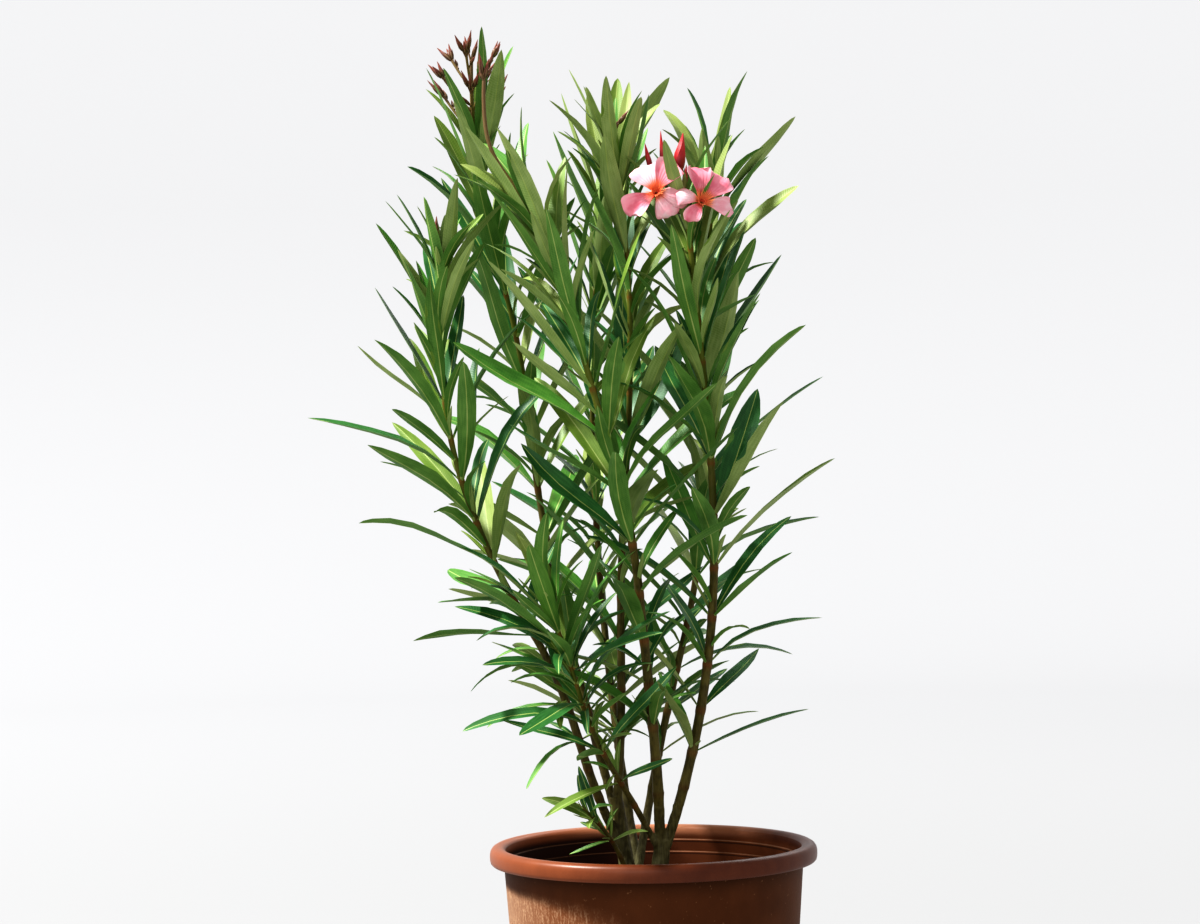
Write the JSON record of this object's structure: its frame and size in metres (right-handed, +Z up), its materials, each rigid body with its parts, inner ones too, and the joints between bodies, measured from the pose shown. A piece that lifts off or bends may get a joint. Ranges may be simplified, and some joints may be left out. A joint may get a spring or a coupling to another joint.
{
  "type": "potted oleander",
  "caption": "Flowering oleander shrub in a round pot: slender canes, narrow pointed leaves in whorls, pink blossom and reddish buds.",
  "frame": {"origin": "centre of the pot's flat underside, at the level it stands on", "axes": "+Z up the plant, -Y towards its front, +X to its right as seen from the front"},
  "size_m": [0.4754, 0.4454, 1.0065],
  "materials": {
    "pot": "satin moulded plastic, terracotta brown",
    "soil": "damp crumbly potting soil",
    "bark": "smooth olive-brown bark, reddish at the nodes",
    "leaves": "leathery leaves, satin dark green above and paler below",
    "buds": "matt red-brown buds and stalks",
    "petals": "soft translucent-looking pink petals"
  },
  "bodies": {
    "root": {"back_cane_lower_leaves": "leaves", "back_cane_middle_leaves": "leaves", "back_cane_stem": "bark", "back_cane_upper_leaves": "leaves", "back_left_buds": "buds", "back_left_cane_lower_leaves": "leaves", "back_left_cane_middle_leaves": "leaves", "back_left_cane_stem": "bark", "back_left_cane_upper_leaves": "leaves", "back_right_cane_lower_leaves": "leaves", "back_right_cane_middle_leaves": "leaves", "back_right_cane_stem": "bark", "back_right_cane_upper_leaves": "leaves", "centre_buds": "buds", "centre_cane_lower_leaves": "leaves", "centre_cane_middle_leaves": "leaves", "centre_cane_stem": "bark", "centre_cane_upper_leaves": "leaves", "front_buds": "buds", "front_cane_lower_leaves": "leaves", "front_cane_middle_leaves": "leaves", "front_cane_stem": "bark", "front_cane_upper_leaves": "leaves", "front_shoot_lower_leaves": "leaves", "front_shoot_stem": "bark", "front_shoot_upper_leaves": "leaves", "left_buds": "buds", "left_cane_lower_leaves": "leaves", "left_cane_middle_leaves": "leaves", "left_cane_stem": "bark", "left_cane_upper_leaves": "leaves", "left_trunk": "bark", "low_shoot_stem": "bark", "low_shoot_tuft_leaves": "leaves", "pot": "pot", "right_blossom": "petals", "right_cane_lower_leaves": "leaves", "right_cane_middle_leaves": "leaves", "right_cane_stem": "bark", "right_cane_upper_leaves": "leaves", "right_trunk": "bark", "soil": "soil"}
  },
  "joints": []
}
